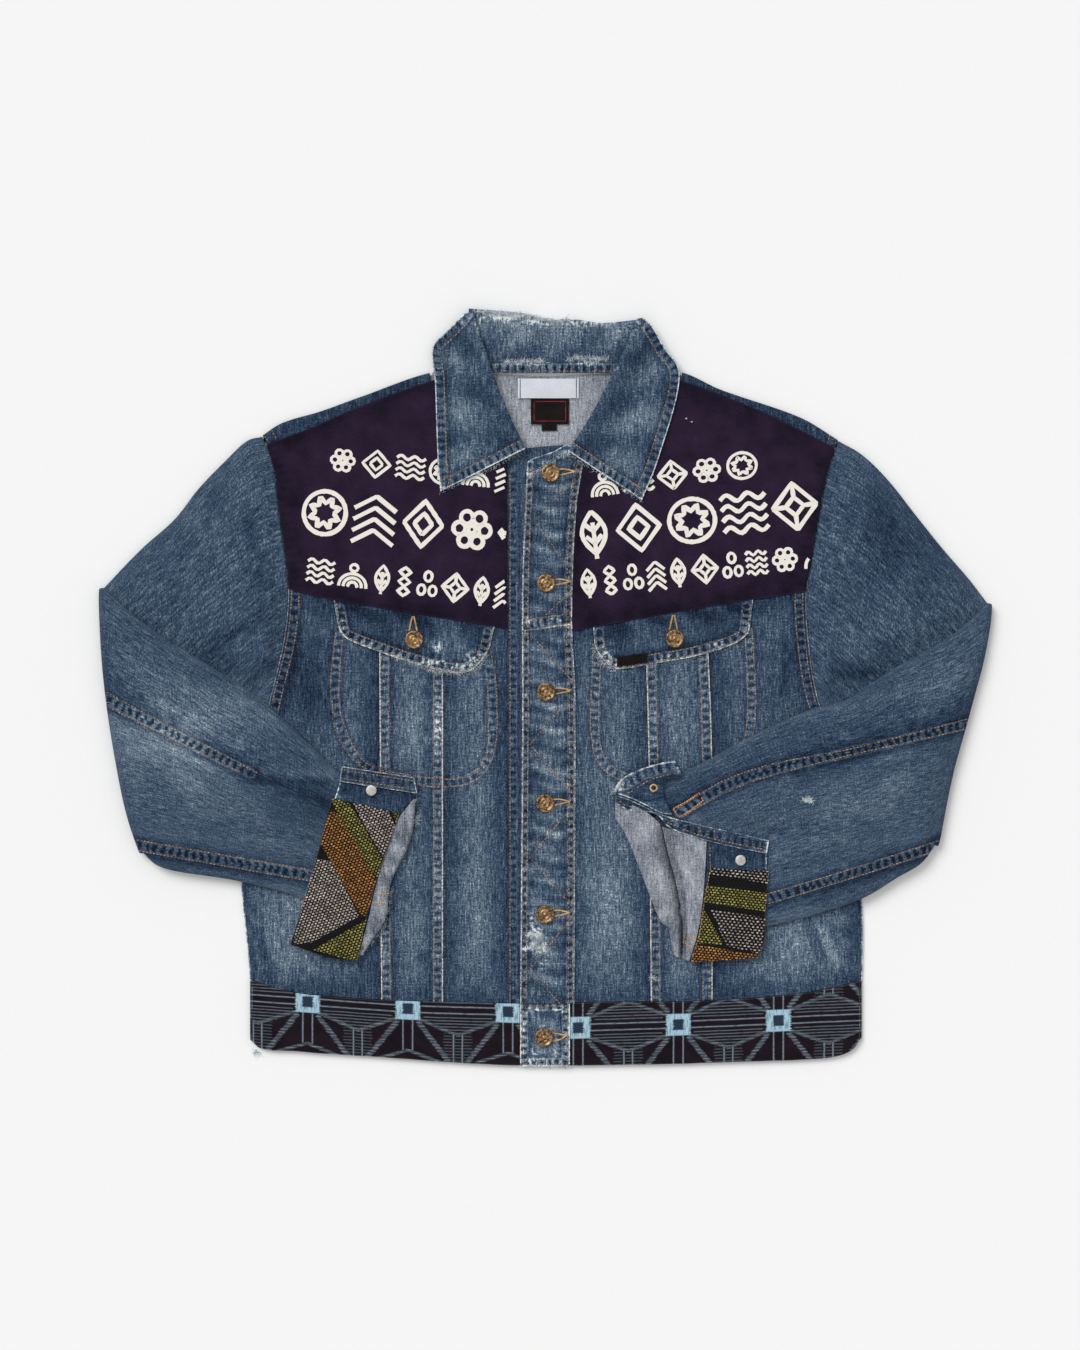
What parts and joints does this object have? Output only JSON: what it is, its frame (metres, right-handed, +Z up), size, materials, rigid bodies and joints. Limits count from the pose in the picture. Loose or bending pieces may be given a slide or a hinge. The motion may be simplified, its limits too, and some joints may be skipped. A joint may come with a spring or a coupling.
{
  "type": "patched denim jacket",
  "caption": "Denim jacket laid flat, front up, sleeve ends folded over the body and turned back, with dark yoke patches, an ikat waistband and woven cuff patches.",
  "frame": {"origin": "under the middle of the laid-out jacket, on the surface that it lies on", "axes": "+X across the body towards the wearer's left sleeve, +Y towards the collar, +Z up from the surface"},
  "size_m": [0.8198, 0.6956, 0.0147],
  "materials": {
    "denim": "washed indigo denim, worn pale along seams and edges",
    "denim_inside": "wrong side of the denim, pale grey-blue",
    "indigo_cotton": "plain-woven cotton, dark indigo-purple, with an off-white print",
    "ikat_cotton": "near-black cotton with a pale blue-grey ikat of hemp leaves",
    "woven_cuff_cloth": "coarse basket-woven cloth in bands of black, olive, ochre and beige",
    "antique_brass": "antiqued brass buttons with a stamped ring",
    "nickel": "satin nickel backs of the cuff buttons",
    "label_white": "bare white woven label",
    "label_black": "bare black woven label with a thin dark red line"
  },
  "bodies": {
    "root": {"back_yoke": "denim", "back_panel": "denim", "front_left_side": "denim", "front_left_mid": "denim", "front_left_centre": "denim", "yoke_left": "denim", "front_right_centre": "denim", "front_right_mid": "denim", "front_right_side": "denim", "yoke_right": "denim", "pocket_bag_left": "denim", "pocket_bag_right": "denim", "placket_upper": "denim", "placket_lower": "denim", "under_placket": "denim", "flap_left": "denim", "flap_right": "denim", "waistband_tab": "denim", "sleeve_left_outer": "denim", "sleeve_left_under": "denim", "sleeve_right_outer": "denim", "sleeve_right_under": "denim", "cuff_left_facing": "denim", "cuff_left_hem": "denim", "cuff_right_facing": "denim", "cuff_right_hem_front": "denim", "cuff_right_hem_back": "denim", "collar": "denim", "cuff_left_inside": "denim_inside", "cuff_right_inside": "denim_inside", "cuff_right_lobe": "denim_inside", "yoke_patch_left": "indigo_cotton", "yoke_patch_right": "indigo_cotton", "waistband": "ikat_cotton", "cuff_left_patch": "woven_cuff_cloth", "cuff_right_patch": "woven_cuff_cloth", "button_1": "antique_brass", "button_2": "antique_brass", "button_3": "antique_brass", "button_4": "antique_brass", "button_5": "antique_brass", "button_6": "antique_brass", "flap_button_left": "antique_brass", "flap_button_right": "antique_brass", "tack_back_left": "nickel", "tack_back_right": "nickel", "neck_label": "label_white", "lower_label": "label_black", "size_tag": "label_black", "flap_tag": "label_black"}
  },
  "joints": []
}
